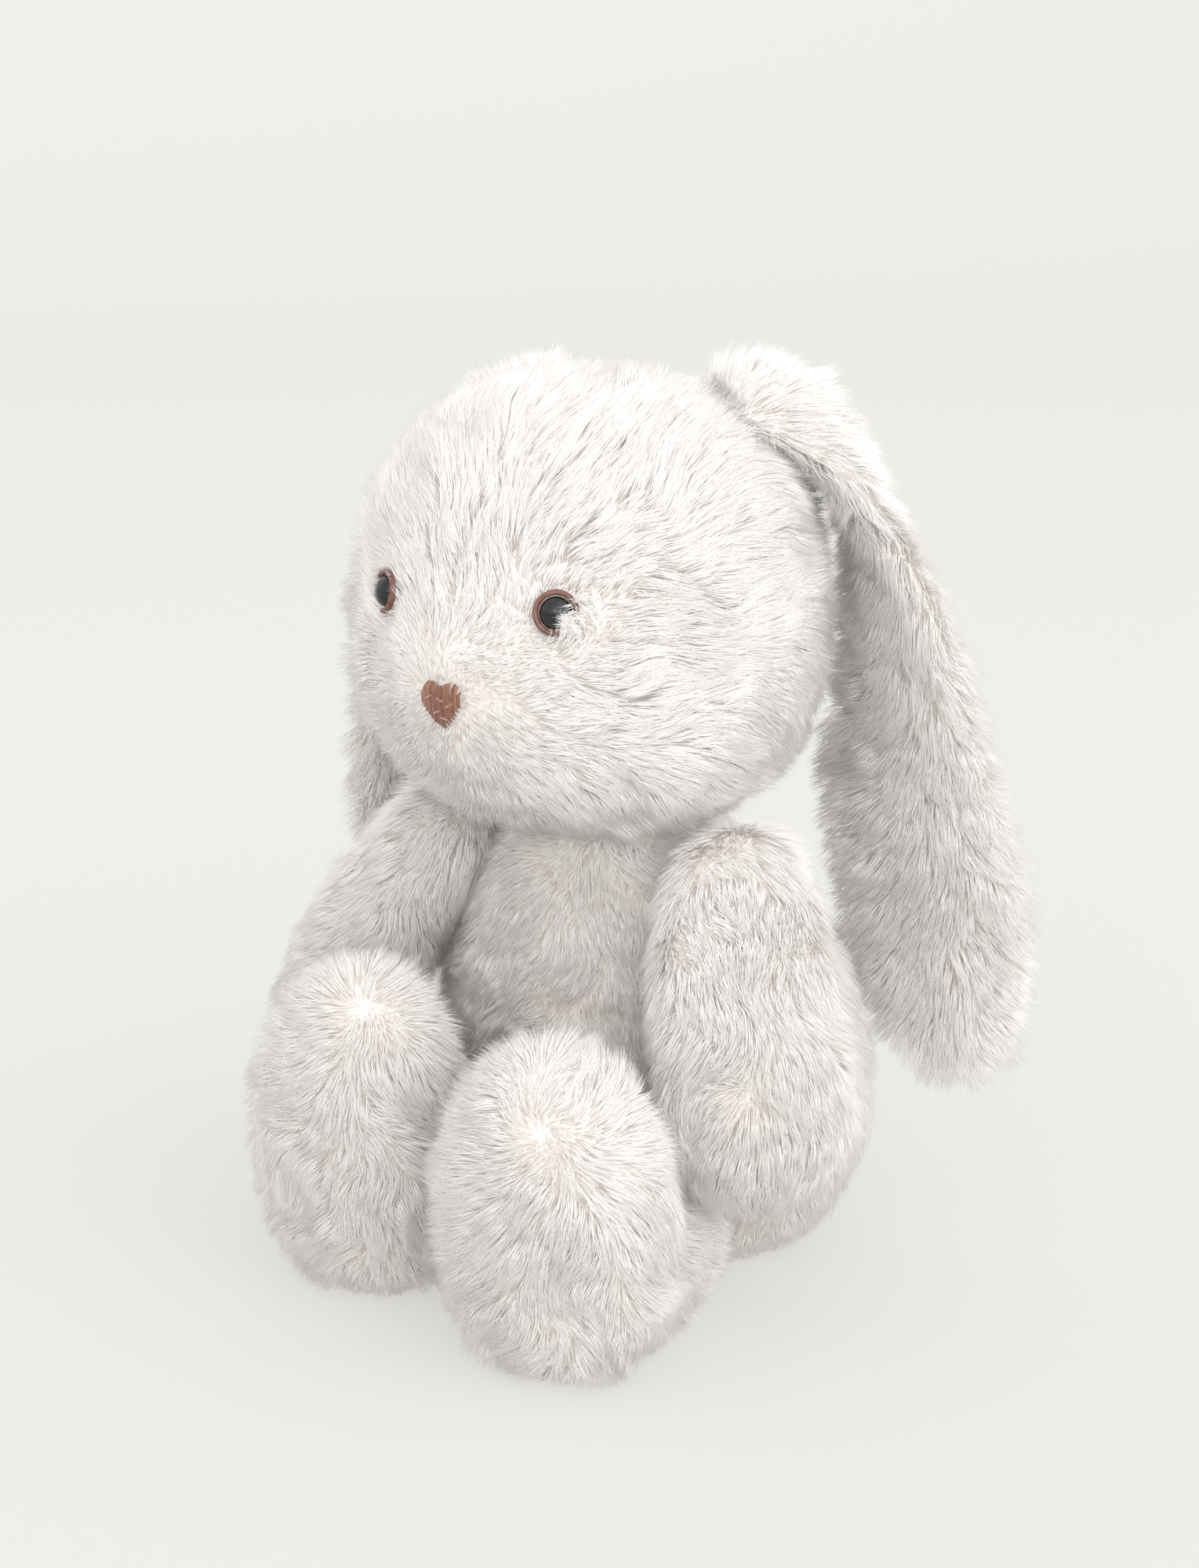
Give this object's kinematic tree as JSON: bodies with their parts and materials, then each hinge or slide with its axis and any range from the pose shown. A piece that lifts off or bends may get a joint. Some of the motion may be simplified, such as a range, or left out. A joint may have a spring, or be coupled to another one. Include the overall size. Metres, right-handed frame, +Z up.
{
  "type": "stuffed bunny rabbit",
  "caption": "Seated long-pile plush bunny with floppy hanging ears, upright oval feet, soft arms, safety eyes and a stitched nose, sewn from fabric panels over fibre filling.",
  "frame": {"origin": "on the flat of the seat, on the plane the bunny sits on, below its middle", "axes": "+Z up, the bunny faces -Y, its left side is +X"},
  "size_m": [0.2117, 0.2066, 0.2677],
  "materials": {
    "plush": "long soft off-white pile",
    "plush_lining": "long soft off-white pile",
    "fibre_fill": "loose white polyester fibre",
    "cotton": "plain woven cotton",
    "eye_ring": "gloss reddish brown",
    "eye_black": "high gloss black",
    "washer": "matt white",
    "nose_thread": "brown satin-stitch embroidery thread",
    "sewing_thread": "off-white sewing thread"
  },
  "bodies": {
    "torso": {"torso_front": "plush", "torso_back_left": "plush", "torso_back_right": "plush", "torso_base": "plush", "torso_stuffing": "fibre_fill", "pellet_bag": "cotton"},
    "neck": {"neck_stuffing": "fibre_fill", "neck_thread": "sewing_thread"},
    "head": {"head_face_left": "plush", "head_face_right": "plush", "head_back_left": "plush", "head_back_right": "plush", "head_stuffing": "fibre_fill", "eye_left_iris": "eye_ring", "eye_left_pupil": "eye_black", "eye_left_washer": "washer", "eye_right_iris": "eye_ring", "eye_right_pupil": "eye_black", "eye_right_washer": "washer", "nose": "nose_thread"},
    "tail": {"tail_cover": "plush", "tail_stuffing": "fibre_fill"},
    "ear_left": {"ear_left_outer": "plush", "ear_left_lining": "plush_lining"},
    "arm_left": {"arm_left_outer": "plush", "arm_left_inner": "plush", "arm_left_stuffing": "fibre_fill"},
    "leg_left": {"leg_left_outer": "plush", "leg_left_inner": "plush", "foot_left_sole": "plush", "leg_left_stuffing": "fibre_fill"},
    "ear_right": {"ear_right_outer": "plush", "ear_right_lining": "plush_lining"},
    "arm_right": {"arm_right_outer": "plush", "arm_right_inner": "plush", "arm_right_stuffing": "fibre_fill"},
    "leg_right": {"leg_right_outer": "plush", "leg_right_inner": "plush", "foot_right_sole": "plush", "leg_right_stuffing": "fibre_fill"}
  },
  "joints": [
    {"name": "head_turn", "type": "hinge", "parent": "torso", "child": "neck", "pos_m": [0, -0.018, 0.14], "axis": [0, 0, 1], "range_deg": [-20, 8]},
    {"name": "head_nod", "type": "hinge", "parent": "neck", "child": "head", "pos_m": [0, -0.018, 0.146], "axis": [1, 0, 0], "range_deg": [-6, 8]},
    {"name": "ear_left_lift", "type": "hinge", "parent": "head", "child": "ear_left", "pos_m": [0.0325, -0.0095, 0.2552], "axis": [0.7557, -0.6046, -0.2519], "range_deg": [0, 75]},
    {"name": "ear_right_lift", "type": "hinge", "parent": "head", "child": "ear_right", "pos_m": [-0.0328, -0.0095, 0.2566], "axis": [0.6986, 0.6587, 0.2794], "range_deg": [0, 75]},
    {"name": "arm_left_lift", "type": "hinge", "parent": "torso", "child": "arm_left", "pos_m": [0.0475, -0.022, 0.126], "axis": [-0.7507, -0.6606, 0], "range_deg": [0, 75]},
    {"name": "arm_right_lift", "type": "hinge", "parent": "torso", "child": "arm_right", "pos_m": [-0.0485, -0.022, 0.125], "axis": [-0.7507, 0.6606, 0], "range_deg": [0, 60]},
    {"name": "leg_left_swing", "type": "hinge", "parent": "torso", "child": "leg_left", "pos_m": [0.04, -0.0565, 0.024], "axis": [1, 0, 0], "range_deg": [-15, 80]},
    {"name": "leg_right_swing", "type": "hinge", "parent": "torso", "child": "leg_right", "pos_m": [-0.041, -0.0545, 0.024], "axis": [1, 0, 0], "range_deg": [-5, 80]},
    {"name": "tail_wag", "type": "hinge", "parent": "torso", "child": "tail", "pos_m": [0, 0.0581, 0.034], "axis": [0, 0, 1], "range_deg": [-10, 10], "stiffness_Nm_per_rad": 0.01}
  ]
}
